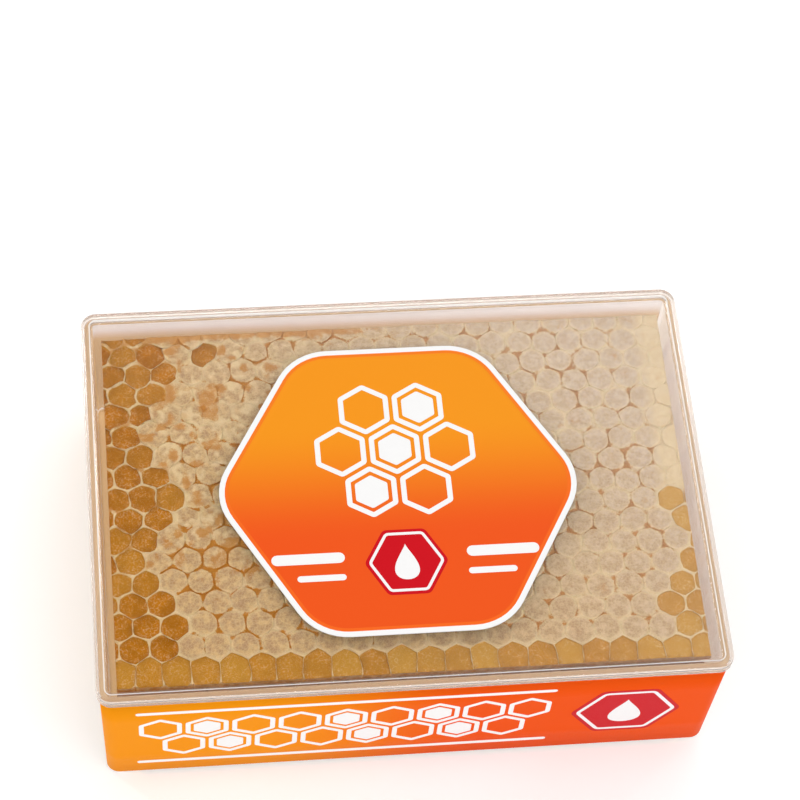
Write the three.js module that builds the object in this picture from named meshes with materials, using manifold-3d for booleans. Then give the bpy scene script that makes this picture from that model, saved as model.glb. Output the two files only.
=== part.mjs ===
// A slab of comb honey shut in a clear plastic box, with a plaque label on the lid and a band label
// round the front. Millimetres: X is the width, Y the depth, Z up from the surface it stands on.
import * as THREE from "three";
import { mergeVertices } from "three/addons/utils/BufferGeometryUtils.js";
import Module from "manifold-3d";

// Lid: a panel sunk below a raised ledge, with a short skirt that closes over the tub's rim.
const LID_WIDTH = 128;
const LID_DEPTH = 91;
const PACK_HEIGHT = 37.5;
const LID_CORNER_RADIUS = 3.2;
const LID_EDGE_ROUNDING = 0.45;
const LEDGE_WIDTH = 2.2;
const PANEL_RECESS = 0.7;
const PANEL_THICKNESS = 0.9;
const SKIRT_HEIGHT = 2.3;
const SKIRT_THICKNESS = 0.6;

// Tub: an open tray whose walls lean in towards its floor.
const LID_CLEARANCE = 0.1;
const TUB_CORNER_RADIUS = 2.6;
const TUB_DRAFT = 0.7;
const TUB_WALL = 1.2;
const TUB_FLOOR = 1.2;
const TUB_EDGE_ROUNDING = 1.0;
const CORNER_STEPS = 5;

// Comb: a slab cut from a frame of comb, with cells on both faces of one middle wall.
const SLAB_LEFT = -59.8;
const SLAB_RIGHT = 60.1;
const SLAB_FRONT = -40.9;
const SLAB_BACK = 40.8;
const SLAB_TOP = 34.2;
const CELL_PITCH = 5.62;
const ROW_PITCH = 4.92;
const LATTICE_TURN = THREE.MathUtils.degToRad(-0.6);
const FIRST_CELL = { x: -53.2, y: -37.6 };
const CELL_WARP = 0.2;
const CAP_HEIGHT = 0.75;
const CAP_SHARE = 0.8;
const OPEN_LEFT_BAND = 11;
const OPEN_BAND_SWING = 3;
const OPEN_FRONT_BAND = 5.2;
const OPEN_CORNER_WIDTH = 9;
const OPEN_CORNER_DEPTH = 17;
const OPEN_CELL_DEPTH = 2.6;
const OPEN_FLOOR_SHARE = 0.84;
const UNDERSIDE_CAP_HEIGHT = 0.6;
const MIDDLE_WALL_Z = 17.6;
const MIDDLE_WALL_THICKNESS = 1.6;
const CAP_THICKNESS = 1.1;
const CHANNEL_SHARE = 0.82;

// Labels: thin printed film, one glued round the tub's front wall and one on the lid's panel.
const FRONT_LABEL_THICKNESS = 0.15;
const FRONT_LABEL_TOP = 34.4;
const FRONT_LABEL_BOTTOM = 1.3;
const FRONT_LABEL_GLUE = 0.02;
const WRAP_STEPS = 4;
const LID_LABEL_THICKNESS = 0.2;
const LID_LABEL_WIDTH = 78;
const LID_LABEL_CORNER = 7;
const LABEL_CORNER_STEPS = 6;

const wasm = await Module();
wasm.setup();

// A closed three.js geometry as a manifold-3d solid.
function solidOf(geometry) {
  const bare = geometry.clone();
  bare.deleteAttribute("normal");
  bare.deleteAttribute("uv");
  const merged = mergeVertices(bare, 1e-4);
  return new wasm.Manifold(
    new wasm.Mesh({
      numProp: 3,
      vertProperties: merged.attributes.position.array,
      triVerts: new Uint32Array(merged.index.array),
    }),
  );
}

// A manifold-3d solid back as a three.js geometry.
function geometryOf(solid) {
  const mesh = solid.getMesh();
  const geometry = new THREE.BufferGeometry();
  geometry.setAttribute("position", new THREE.BufferAttribute(mesh.vertProperties, 3));
  geometry.setIndex(new THREE.BufferAttribute(mesh.triVerts, 1));
  geometry.computeVertexNormals();
  return geometry;
}

// An indexed geometry from a list of points and a list of triangles.
function indexedGeometry(points, triangles) {
  const geometry = new THREE.BufferGeometry();
  geometry.setAttribute("position", new THREE.Float32BufferAttribute(points.flat(), 3));
  geometry.setIndex(triangles.flat());
  geometry.computeVertexNormals();
  return geometry;
}

// A level rounded rectangle of points, anticlockwise seen from above.
function roundedRing({ halfWidth, halfDepth, radius, z }) {
  const quarter = Math.PI / 2;
  return [0, 1, 2, 3].flatMap((corner) => {
    const sideX = corner === 0 || corner === 3 ? 1 : -1;
    const sideY = corner < 2 ? 1 : -1;
    return Array.from({ length: CORNER_STEPS + 1 }, (_, step) => {
      const angle = corner * quarter + (step / CORNER_STEPS) * quarter;
      const x = sideX * (halfWidth - radius) + radius * Math.cos(angle);
      const y = sideY * (halfDepth - radius) + radius * Math.sin(angle);
      return [x, y, z];
    });
  });
}

// A closed surface through level rings of equal point counts, with a flat cap on the first and the last.
function loft(rings) {
  const count = rings[0].length;
  const triangles = [];
  for (let r = 0; r + 1 < rings.length; r++) {
    for (let k = 0; k < count; k++) {
      const a = r * count + k;
      const b = r * count + ((k + 1) % count);
      triangles.push([a, b, b + count], [a, b + count, a + count]);
    }
  }
  const last = (rings.length - 1) * count;
  for (let k = 1; k + 1 < count; k++) {
    triangles.push([0, k + 1, k], [last, last + k, last + k + 1]);
  }
  return indexedGeometry(rings.flat(), triangles);
}

// Points of a quarter round, as offsets in from the wall and along Z, from the wall's end to the face.
function quarterRound(radius, steps) {
  return Array.from({ length: steps + 1 }, (_, k) => {
    const angle = (k / steps) * (Math.PI / 2);
    return { inset: radius * (1 - Math.cos(angle)), rise: radius * Math.sin(angle) };
  });
}

function lidRing(inset, z) {
  return roundedRing({
    halfWidth: LID_WIDTH / 2 - inset,
    halfDepth: LID_DEPTH / 2 - inset,
    radius: Math.max(LID_CORNER_RADIUS - inset, 0.6),
    z,
  });
}

const PANEL_TOP = PACK_HEIGHT - PANEL_RECESS;
const PANEL_UNDERSIDE = PANEL_TOP - PANEL_THICKNESS;
const SKIRT_FOOT = PACK_HEIGHT - SKIRT_HEIGHT;

// The lid's section, from the panel's underside round the skirt and over the ledge to the panel's top.
function makeLid() {
  const edge = quarterRound(LID_EDGE_ROUNDING, 3);
  const outer = edge.map(({ inset, rise }) =>
    lidRing(inset, PACK_HEIGHT - LID_EDGE_ROUNDING + rise),
  );
  return loft([
    lidRing(SKIRT_THICKNESS, PANEL_UNDERSIDE),
    lidRing(SKIRT_THICKNESS, SKIRT_FOOT),
    lidRing(0, SKIRT_FOOT),
    ...outer,
    lidRing(LEDGE_WIDTH - PANEL_RECESS / 2, PACK_HEIGHT),
    lidRing(LEDGE_WIDTH, PANEL_TOP),
  ]);
}

const TUB_TOP = PANEL_UNDERSIDE - LID_CLEARANCE;
const TUB_HALF_WIDTH = LID_WIDTH / 2 - SKIRT_THICKNESS - LID_CLEARANCE;
const TUB_HALF_DEPTH = LID_DEPTH / 2 - SKIRT_THICKNESS - LID_CLEARANCE;

// A ring at height z, inset from the tub's leaning outer wall.
function tubRing(inset, z) {
  const lean = TUB_DRAFT * (1 - z / TUB_TOP);
  return roundedRing({
    halfWidth: TUB_HALF_WIDTH - lean - inset,
    halfDepth: TUB_HALF_DEPTH - lean - inset,
    radius: Math.max(TUB_CORNER_RADIUS - inset, 0.8),
    z,
  });
}

// The tub's section, from its foot up the outer wall, over the rim and down to the inner floor.
function makeTub() {
  const foot = quarterRound(TUB_EDGE_ROUNDING, 3).reverse();
  const outside = foot.map(({ inset, rise }) => tubRing(inset, TUB_EDGE_ROUNDING - rise));
  const inside = quarterRound(TUB_EDGE_ROUNDING, 2).map(({ inset, rise }) =>
    tubRing(TUB_WALL + inset, TUB_FLOOR + TUB_EDGE_ROUNDING - rise),
  );
  return loft([...outside, tubRing(0, TUB_TOP), tubRing(TUB_WALL, TUB_TOP), ...inside]);
}

// Bends the regular lattice a little, as a built comb is never quite even.
function warp(x, y) {
  return [
    x + CELL_WARP * (Math.sin(0.31 * x + 0.83 * y) + Math.sin(0.67 * y - 0.19 * x + 1.7)),
    y + CELL_WARP * (Math.sin(0.74 * x - 0.27 * y + 0.6) + Math.sin(0.41 * x + 0.35 * y + 2.9)),
  ];
}

// Lattice steps to slab coordinates: column counts cells along X, row counts rows along Y.
function latticePoint(column, row, shift) {
  const u = column * CELL_PITCH;
  const v = row * ROW_PITCH + shift;
  const x = FIRST_CELL.x + u * Math.cos(LATTICE_TURN) - v * Math.sin(LATTICE_TURN);
  const y = FIRST_CELL.y + u * Math.sin(LATTICE_TURN) + v * Math.cos(LATTICE_TURN);
  return warp(x, y);
}

// The six corners of a cell, point upwards, as lattice steps shared exactly with its neighbours.
const CELL_CORNERS = [
  [0.5, 1 / 3],
  [0, 2 / 3],
  [-0.5, 1 / 3],
  [-0.5, -1 / 3],
  [0, -2 / 3],
  [0.5, -1 / 3],
];

// Every cell that touches the slab, with one ring spare; shift slides the lattice along Y.
function latticeCells(shift) {
  const columns = Math.ceil((SLAB_RIGHT - SLAB_LEFT) / CELL_PITCH) + 2;
  const rows = Math.ceil((SLAB_BACK - SLAB_FRONT) / ROW_PITCH) + 2;
  const cells = [];
  for (let row = -2; row < rows; row++) {
    for (let column = -3; column < columns; column++) {
      const at = column + (Math.abs(row) % 2) / 2;
      const [x, y] = latticePoint(at, row, shift);
      const corners = CELL_CORNERS.map(([dc, dr]) => ({
        key: [Math.round(2 * (at + dc)), Math.round(3 * (row + dr))].join(),
        point: latticePoint(at + dc, row + dr, shift),
      }));
      cells.push({ x, y, corners });
    }
  }
  return cells;
}

// Cells along the left and front sides and in the right front corner are open, the rest capped.
function isOpen({ x, y }) {
  const leftBand = SLAB_LEFT + OPEN_LEFT_BAND + OPEN_BAND_SWING * Math.sin(0.21 * y + 0.8);
  const inCorner = x > SLAB_RIGHT - OPEN_CORNER_WIDTH && y < SLAB_FRONT + OPEN_CORNER_DEPTH;
  return x < leftBand || y < SLAB_FRONT + OPEN_FRONT_BAND || inCorner;
}

// A sheet of cells closed to a flat face behind it: each cell's outline is shared with its
// neighbours at the groove level, and its middle rises to a flat cap or sinks to a floor.
function cellSheet({ cells, groove, middle, back, up }) {
  const points = [];
  const shared = new Map();
  const triangles = [];
  const edges = new Map();
  const add = (x, y, z) => points.push([x, y, z]) - 1;
  const triangle = (a, b, c) => triangles.push(up ? [a, b, c] : [a, c, b]);
  for (const cell of cells) {
    const rim = cell.corners.map(({ key, point: [x, y] }) => {
      if (!shared.has(key)) shared.set(key, add(x, y, groove));
      return shared.get(key);
    });
    const { share, z } = middle(cell);
    const inner = cell.corners.map(({ point: [x, y] }) =>
      add(cell.x + share * (x - cell.x), cell.y + share * (y - cell.y), z),
    );
    rim.forEach((a, k) => {
      const next = (k + 1) % 6;
      const b = rim[next];
      if (share > 0) {
        triangle(a, b, inner[next]);
        triangle(a, inner[next], inner[k]);
      } else {
        triangle(a, b, inner[0]);
      }
      edges.set(a + ">" + b, [a, b]);
    });
    if (share > 0) {
      for (let k = 1; k < 5; k++) triangle(inner[0], inner[k], inner[k + 1]);
    }
  }
  const open = [...edges.values()].filter(([a, b]) => !edges.has(b + ">" + a));
  const behind = new Map();
  for (const [a, b] of open) {
    for (const v of [a, b]) {
      if (!behind.has(v)) behind.set(v, add(points[v][0], points[v][1], back));
    }
  }
  const centre = add((SLAB_LEFT + SLAB_RIGHT) / 2, (SLAB_FRONT + SLAB_BACK) / 2, back);
  for (const [a, b] of open) {
    const [c, d] = [behind.get(a), behind.get(b)];
    triangle(b, a, c);
    triangle(b, c, d);
    triangle(d, c, centre);
  }
  return indexedGeometry(points, triangles);
}

function slabBox(z0, z1) {
  const box = new THREE.BoxGeometry(SLAB_RIGHT - SLAB_LEFT, SLAB_BACK - SLAB_FRONT, z1 - z0);
  return box.translate(
    (SLAB_LEFT + SLAB_RIGHT) / 2,
    (SLAB_FRONT + SLAB_BACK) / 2,
    (z0 + z1) / 2,
  );
}

// True where the slab's cut side runs through the hollow of the cell.
function isCut({ x, y }) {
  const near = (CELL_PITCH / 2) * CHANNEL_SHARE;
  const beside = Math.min(Math.abs(x - SLAB_LEFT), Math.abs(x - SLAB_RIGHT)) < near;
  const across = Math.min(Math.abs(y - SLAB_FRONT), Math.abs(y - SLAB_BACK)) < near;
  return beside || across;
}

// The hollow of one cut cell, a six-sided prism between two heights.
function channel({ x, y, corners }, z0, z1) {
  const outline = corners.map(
    ({ point: [cx, cy] }) =>
      new THREE.Vector2(x + CHANNEL_SHARE * (cx - x), y + CHANNEL_SHARE * (cy - y)),
  );
  const prism = new THREE.ExtrudeGeometry(new THREE.Shape(outline), {
    depth: z1 - z0,
    bevelEnabled: false,
  });
  return solidOf(prism.translate(0, 0, z0));
}

const SLAB_BOTTOM = TUB_FLOOR;

// The comb: capped and open cells above the middle wall, low caps below it, cut cells at the sides.
function makeComb() {
  const upper = latticeCells(0);
  const lower = latticeCells((2 / 3) * ROW_PITCH);
  const groove = SLAB_TOP - CAP_HEIGHT;
  const capped = { share: CAP_SHARE, z: SLAB_TOP };
  const open = { share: OPEN_FLOOR_SHARE, z: groove - OPEN_CELL_DEPTH };
  const top = cellSheet({
    cells: upper,
    groove,
    middle: (cell) => (isOpen(cell) ? open : capped),
    back: MIDDLE_WALL_Z,
    up: true,
  });
  const under = cellSheet({
    cells: lower,
    groove: SLAB_BOTTOM + UNDERSIDE_CAP_HEIGHT,
    middle: () => ({ share: 0, z: SLAB_BOTTOM }),
    back: MIDDLE_WALL_Z,
    up: false,
  });
  const halves = solidOf(top).add(solidOf(under));
  const slab = halves.intersect(solidOf(slabBox(SLAB_BOTTOM - 1, SLAB_TOP + 1)));
  const wall = MIDDLE_WALL_THICKNESS / 2;
  const channels = [
    ...upper
      .filter((cell) => isCut(cell) && !isOpen(cell))
      .map((cell) => channel(cell, MIDDLE_WALL_Z + wall, groove - CAP_THICKNESS)),
    ...lower
      .filter(isCut)
      .map((cell) => channel(cell, SLAB_BOTTOM + CAP_THICKNESS + wall, MIDDLE_WALL_Z - wall)),
  ];
  const cut = slab.subtract(wasm.Manifold.union(channels));
  const bodies = cut.decompose().sort((a, b) => b.volume() - a.volume());
  return geometryOf(bodies[0]);
}

// Points along the front wall at height z, from the left corner round to the right one. They share
// the tub's corner steps, so the film lies flat on each facet.
function frontLine(z, outwards) {
  const lean = TUB_DRAFT * (1 - z / TUB_TOP);
  const radius = TUB_CORNER_RADIUS;
  const centreX = TUB_HALF_WIDTH - lean - radius;
  const centreY = -(TUB_HALF_DEPTH - lean - radius);
  const reach = radius + outwards;
  const corner = Array.from({ length: WRAP_STEPS + 1 }, (_, k) => {
    const angle = ((WRAP_STEPS - k) / CORNER_STEPS) * (Math.PI / 2);
    return [centreX + reach * Math.sin(angle), centreY - reach * Math.cos(angle), z];
  });
  const left = corner.map(([x, y]) => [-x, y, z]);
  return [...left, ...corner.reverse()];
}

// The front label: a skin on the tub's outer wall, as upright sections carried round the front.
function makeFrontLabel() {
  const face = FRONT_LABEL_GLUE + FRONT_LABEL_THICKNESS;
  const outerFoot = frontLine(FRONT_LABEL_BOTTOM, face);
  const outerHead = frontLine(FRONT_LABEL_TOP, face);
  const innerFoot = frontLine(FRONT_LABEL_BOTTOM, FRONT_LABEL_GLUE);
  const innerHead = frontLine(FRONT_LABEL_TOP, FRONT_LABEL_GLUE);
  return loft(outerFoot.map((foot, k) => [foot, innerFoot[k], innerHead[k], outerHead[k]]));
}

// The lid label: a regular hexagon with rounded corners, two of them pointing left and right.
function makeLidLabel() {
  const corners = Array.from({ length: 6 }, (_, k) =>
    new THREE.Vector2(LID_LABEL_WIDTH / 2, 0).rotateAround(new THREE.Vector2(), (k * Math.PI) / 3),
  );
  const shape = new THREE.Shape();
  corners.forEach((corner, k) => {
    const before = corners[(k + 5) % 6].clone().sub(corner).setLength(LID_LABEL_CORNER);
    const after = corners[(k + 1) % 6].clone().sub(corner).setLength(LID_LABEL_CORNER);
    const start = corner.clone().add(before);
    const end = corner.clone().add(after);
    if (k === 0) shape.moveTo(start.x, start.y);
    else shape.lineTo(start.x, start.y);
    shape.quadraticCurveTo(corner.x, corner.y, end.x, end.y);
  });
  shape.closePath();
  return new THREE.ExtrudeGeometry(shape, {
    depth: LID_LABEL_THICKNESS,
    bevelEnabled: false,
    curveSegments: LABEL_CORNER_STEPS,
  });
}

const CLEAR_PLASTIC = {
  color: 0xe9dfd8,
  roughness: 0.08,
  metalness: 0,
  transparent: true,
  opacity: 0.35,
};
const WAX = { color: 0xdfc496, roughness: 0.6, metalness: 0 };
const ORANGE_PRINT = { color: 0xf67f22, roughness: 0.4, metalness: 0 };

const pack = new THREE.Group();

function addPiece(name, geometry, material, z = 0) {
  const mesh = new THREE.Mesh(geometry, new THREE.MeshStandardMaterial(material));
  mesh.name = name;
  mesh.position.z = z;
  pack.add(mesh);
}

addPiece("tub", makeTub(), CLEAR_PLASTIC);
addPiece("lid", makeLid(), CLEAR_PLASTIC);
addPiece("comb", makeComb(), WAX);
addPiece("front_label", makeFrontLabel(), ORANGE_PRINT);
addPiece("lid_label", makeLidLabel(), ORANGE_PRINT, PANEL_TOP);

export default pack;
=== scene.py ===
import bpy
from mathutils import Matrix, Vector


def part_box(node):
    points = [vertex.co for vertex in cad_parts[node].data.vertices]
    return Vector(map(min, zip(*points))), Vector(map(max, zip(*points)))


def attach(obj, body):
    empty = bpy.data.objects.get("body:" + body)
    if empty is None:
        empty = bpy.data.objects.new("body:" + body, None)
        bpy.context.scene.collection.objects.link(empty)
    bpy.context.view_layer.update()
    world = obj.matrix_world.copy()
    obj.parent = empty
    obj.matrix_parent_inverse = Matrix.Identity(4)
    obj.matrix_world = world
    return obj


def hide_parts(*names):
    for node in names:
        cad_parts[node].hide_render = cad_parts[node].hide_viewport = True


bl_info = {
    "name": "Comb honey in a clear box",
    "version": (1, 0, 0),
    "blender": (4, 5, 0),
    "location": "View3D > Sidebar > Comb honey",
    "description": "Dresses the packed box of comb honey: clear box, wax and honey, printed labels",
    "category": "Object",
}

import math

import bmesh
import bpy
import numpy as np
from bpy.props import FloatProperty, FloatVectorProperty, IntProperty, PointerProperty
from mathutils import Matrix, Vector

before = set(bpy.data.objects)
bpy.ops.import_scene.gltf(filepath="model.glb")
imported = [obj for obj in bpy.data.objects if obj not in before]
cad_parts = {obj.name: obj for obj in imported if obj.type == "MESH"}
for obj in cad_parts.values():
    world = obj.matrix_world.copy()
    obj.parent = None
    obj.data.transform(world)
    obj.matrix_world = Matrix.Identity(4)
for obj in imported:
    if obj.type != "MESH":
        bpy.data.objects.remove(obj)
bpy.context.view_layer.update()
MM = 0.001

LID_LOW, LID_HIGH = (np.array(corner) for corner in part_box("lid"))
TUB_HIGH = np.array(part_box("tub")[1])
COMB_LOW, COMB_HIGH = (np.array(corner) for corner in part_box("comb"))
FRONT_LOW, FRONT_HIGH = (np.array(corner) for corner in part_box("front_label"))
PLAQUE_LOW, PLAQUE_HIGH = (np.array(corner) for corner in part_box("lid_label"))


# Settings that a user would change.


def length_setting(name, description, millimetres):
    return FloatProperty(
        name=name, description=description, default=millimetres * MM, unit="LENGTH", precision=5)


def angle_setting(name, description, degrees):
    return FloatProperty(
        name=name, description=description, default=math.radians(degrees), unit="ROTATION")


def colour_setting(name, description, *linear):
    return FloatVectorProperty(
        name=name, description=description, default=linear, size=3, subtype="COLOR")


class BoxSettings(bpy.types.PropertyGroup):
    """Wall sizes, roundings and colours of the clear tub and lid."""

    lid_corner: length_setting("Lid corner", "Radius of the lid's corners in plan", 3.2)
    tub_corner: length_setting("Tub corner", "Radius of the tub's corners in plan", 2.6)
    ledge: length_setting("Ledge", "Width of the raised ledge round the lid's panel", 2.2)
    recess: length_setting("Recess", "Depth of the lid's panel below its ledge", 0.7)
    panel: length_setting("Panel", "Thickness of the lid's panel", 0.9)
    skirt: length_setting("Skirt", "Thickness of the lid's skirt", 0.6)
    wall: length_setting("Wall", "Thickness of the tub's walls and floor", 1.2)
    draft: length_setting("Draft", "How far the tub's walls lean in at its foot", 0.7)
    tint: colour_setting("Tint", "Colour of the clear plastic", 0.965, 0.952, 0.952)
    # Painted glow: the lid's thick rims are tinted warm, standing in for light that runs through the
    # plastic from the comb.
    rim_glow_tint: colour_setting(
        "Rim tint", "Colour of the thick rims, where light runs along the plastic",
        0.85, 0.775, 0.715)
    # Painted glow: an amber, mostly diffuse colour on the tub's upper edge, standing in for light
    # glowing through its walls.
    edge_glow_tint: colour_setting(
        "Edge tint", "Colour of the tub's upper edge, where its walls glow", 0.78, 0.56, 0.32)
    # Painted highlight: a near-white, mostly diffuse colour on the rim's rounded corners, where the
    # lamps would glint.
    highlight_tint: colour_setting(
        "Corner tint", "Colour of the rim's rounded corners, which gather light",
        1.0, 0.985, 0.97)
    smear_tint: colour_setting(
        "Smear tint", "Colour of the honey smeared on the left and front walls and the floor",
        0.95, 0.62, 0.24)
    mist_tint: colour_setting(
        "Mist tint", "Colour of the thin film of wax on the right wall", 1.0, 0.93, 0.83)
    haze_tint: colour_setting(
        "Haze tint", "Colour of the back wall above the comb", 0.98, 0.92, 0.89)
    back_tint: colour_setting(
        "Back tint", "Colour of the back wall below the comb's upper face",
        0.75, 0.45, 0.17)


class CombSettings(bpy.types.PropertyGroup):
    """Sizes of the cells and the colours of wax and honey."""

    cell_pitch: length_setting("Cell", "Width of a cell across its flats", 5.62)
    row_pitch: length_setting("Row", "Distance between rows of cells", 4.92)
    turn: angle_setting("Turn", "Turn of the rows against the box", -0.6)
    warp: length_setting("Warp", "How far the comb strays from an even lattice", 0.2)
    honey_depth: length_setting(
        "Honey depth", "Depth of the honey below the walls of an open cell", 0.6)
    seed: IntProperty(
        name="Seed", description="Start of the random draws for the cells", default=11)
    wax: colour_setting("Wax", "Colour of a dry cap", 0.665, 0.445, 0.20)
    bleached: colour_setting(
        "Bleached wax", "Colour of caps towards the right and the back", 0.60, 0.485, 0.375)
    rim: colour_setting("Rim", "Colour of cell walls and of the rims of caps", 0.80, 0.64, 0.36)
    stain: colour_setting("Stain", "Colour of the darker mottling on the caps", 0.44, 0.27, 0.13)
    honey: colour_setting("Honey", "Colour of honey in the open cells", 0.51, 0.172, 0.001)
    light_honey: colour_setting(
        "Light honey", "Colour of honey in thinly filled cells", 0.58, 0.31, 0.045)


class LabelSettings(bpy.types.PropertyGroup):
    """Colours of the printed labels, and the width of the lid label's border."""

    light_orange: colour_setting(
        "Light orange", "Yellow end of the labels' colour run", 0.91, 0.305, 0.006)
    deep_orange: colour_setting(
        "Deep orange", "Red end of the labels' colour run", 0.86, 0.09, 0.006)
    badge_red: colour_setting("Badge red", "Colour of the hexagonal badges", 0.62, 0.006, 0.014)
    border: length_setting("Border", "Width of the white border of the lid label", 1.15)


class StageSettings(bpy.types.PropertyGroup):
    """Where the camera stands, and how bright the studio is."""

    azimuth: angle_setting("Azimuth", "How far the view is turned to the right", 11.10)
    elevation: angle_setting("Elevation", "How steeply the camera looks down", 58.73)
    roll: angle_setting("Roll", "Turn of the camera about its own axis", 6.80)
    distance: FloatProperty(
        name="Distance", description="From the camera to the point it looks at",
        default=0.63903, unit="LENGTH")
    target: FloatVectorProperty(
        name="Target", description="Point of the floor in the middle of the picture",
        default=(0.00649, 0.04286, 0.0), size=3, subtype="TRANSLATION")
    lens: FloatProperty(
        name="Lens", description="Focal length in millimetres on a 36 mm sensor",
        default=127.34, min=1.0, max=500.0)
    ambient: FloatProperty(
        name="Ambient", description="Brightness of the white studio round the box",
        default=0.82, min=0.0)


SETTINGS = {
    "comb_box": BoxSettings,
    "comb_slab": CombSettings,
    "comb_labels": LabelSettings,
    "comb_stage": StageSettings,
}


# Meshes from numpy arrays.


def fill_mesh(mesh, points, corners, sizes, face_slots, smooth, values):
    """Writes points (n, 3), the faces' corner indices in a row, their sizes and their values."""
    mesh.vertices.add(len(points))
    mesh.vertices.foreach_set("co", np.asarray(points, np.float32).ravel())
    mesh.loops.add(len(corners))
    mesh.loops.foreach_set("vertex_index", corners.astype(np.int32))
    mesh.polygons.add(len(sizes))
    starts = np.concatenate([[0], np.cumsum(sizes)[:-1]])
    mesh.polygons.foreach_set("loop_start", starts.astype(np.int32))
    if face_slots is not None:
        mesh.polygons.foreach_set("material_index", np.asarray(face_slots, np.int32))
    mesh.update(calc_edges=True)
    mesh.polygons.foreach_set("use_smooth", smooth)
    for key, data in values.items():
        layer = mesh.attributes.new(key, "FLOAT", "POINT")
        layer.data.foreach_set("value", np.asarray(data, np.float32).ravel())


def add_mesh(name, points, faces, materials, face_slots=None, values=None, smooth=True):
    """A mesh object from points (n, 3) and a list of index arrays, one per face size."""
    faces = [np.asarray(block) for block in faces if len(block)]
    sizes = np.concatenate([np.full(len(block), block.shape[1]) for block in faces])
    corners = np.concatenate([block.ravel() for block in faces])
    mesh = bpy.data.meshes.new(name)
    fill_mesh(mesh, points, corners, sizes, face_slots, np.full(len(sizes), smooth), values or {})
    for material in materials:
        mesh.materials.append(material)
    thing = bpy.data.objects.new(name, mesh)
    bpy.context.scene.collection.objects.link(thing)
    return thing


def settle(thing, node):
    """Ties a finished piece to the box's one body, and hides the solid it stands for."""
    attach(thing, "root")
    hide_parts(node)


def grid_faces(rows, columns, wrap=True):
    """Quads of a grid with the given rows and columns; with wrap the last column meets the first."""
    row, column = np.meshgrid(np.arange(rows - 1), np.arange(columns - (not wrap)), indexing="ij")
    a = (row * columns + column).ravel()
    b = (row * columns + (column + 1) % columns).ravel()
    return np.stack([a, b, b + columns, a + columns], 1)


def cap_faces(ring, inwards):
    """A fan of triangles over one closed ring of indices round a centre index placed first."""
    centre, ring = ring[0], ring[1:]
    after = np.roll(ring, -1)
    fan = np.stack([np.full(len(ring), centre), ring, after], 1)
    return fan[:, ::-1] if inwards else fan


def lofted(rings):
    """Points and faces of a closed surface through rings (k, n, 3), a fan closing either end."""
    count, around = rings.shape[:2]
    points = np.concatenate([rings.reshape(-1, 3), rings[0].mean(0)[None], rings[-1].mean(0)[None]])
    ends = count * around
    first = cap_faces(np.concatenate([[ends], np.arange(around)]), True)
    last = cap_faces(np.concatenate([[ends + 1], ends - around + np.arange(around)]), False)
    return points, [grid_faces(count, around), np.concatenate([first, last])]


def smooth_step(low, high, value):
    """Zero below low, one above high, and an S curve between."""
    t = np.clip((value - low) / (high - low), 0, 1)
    return t * t * (3 - 2 * t)


def scatter(i, j, seed):
    """A repeatable random value from 0 to 1 for each pair of whole numbers."""
    mixed = np.sin(i * 127.1 + j * 311.7 + seed * 74.7) * 43758.5453
    return mixed - np.floor(mixed)


def noise(x, y, size, seed):
    """Smooth random values from -1 to 1: random corners of squares of that size, blended by S curves."""
    u, v = x / size, y / size
    i, j = np.floor(u), np.floor(v)
    a, b = smooth_step(0, 1, u - i), smooth_step(0, 1, v - j)
    low = scatter(i, j, seed) * (1 - a) + scatter(i + 1, j, seed) * a
    high = scatter(i, j + 1, seed) * (1 - a) + scatter(i + 1, j + 1, seed) * a
    return 2 * (low * (1 - b) + high * b) - 1


# Shader helpers.


def new_material(name):
    """An empty node material with its tree and its output."""
    material = bpy.data.materials.new(name)
    material.use_nodes = True
    tree = material.node_tree
    tree.nodes.clear()
    return material, tree, tree.nodes.new("ShaderNodeOutputMaterial")


def add_node(tree, kind, inputs=None, **settings):
    """One node, with its settings, and its inputs linked where the value is a socket."""
    node = tree.nodes.new("ShaderNode" + kind)
    for key, value in settings.items():
        setattr(node, key, value)
    for key, value in (inputs or {}).items():
        if isinstance(value, bpy.types.NodeSocket):
            tree.links.new(value, node.inputs[key])
        else:
            node.inputs[key].default_value = value
    return node


def principled(tree, output, inputs):
    """The one shader of an opaque material, led to its output."""
    surface = add_node(tree, "BsdfPrincipled", inputs)
    tree.links.new(surface.outputs[0], output.inputs["Surface"])


def colour(values):
    return (*values, 1.0)


def mix(tree, factor, first, second):
    """A colour between two colours, by a factor."""
    node = add_node(tree, "Mix", {0: factor, 6: first, 7: second}, data_type="RGBA")
    return node.outputs[2]


def maths(tree, operation, first, second, clamp=False):
    node = add_node(tree, "Math", {0: first, 1: second}, operation=operation, use_clamp=clamp)
    return node.outputs[0]


def times(tree, first, second):
    return maths(tree, "MULTIPLY", first, second)


def plus(tree, first, second, clamp=False):
    return maths(tree, "ADD", first, second, clamp)


def remap(tree, value, low, high, to_low=0.0, to_high=1.0):
    """A value carried by an S curve from one range to another."""
    node = add_node(
        tree, "MapRange",
        {"Value": value, "From Min": low, "From Max": high, "To Min": to_low, "To Max": to_high},
        interpolation_type="SMOOTHSTEP")
    return node.outputs["Result"]


def attribute(tree, name):
    return add_node(tree, "Attribute", attribute_name=name).outputs["Fac"]


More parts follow.
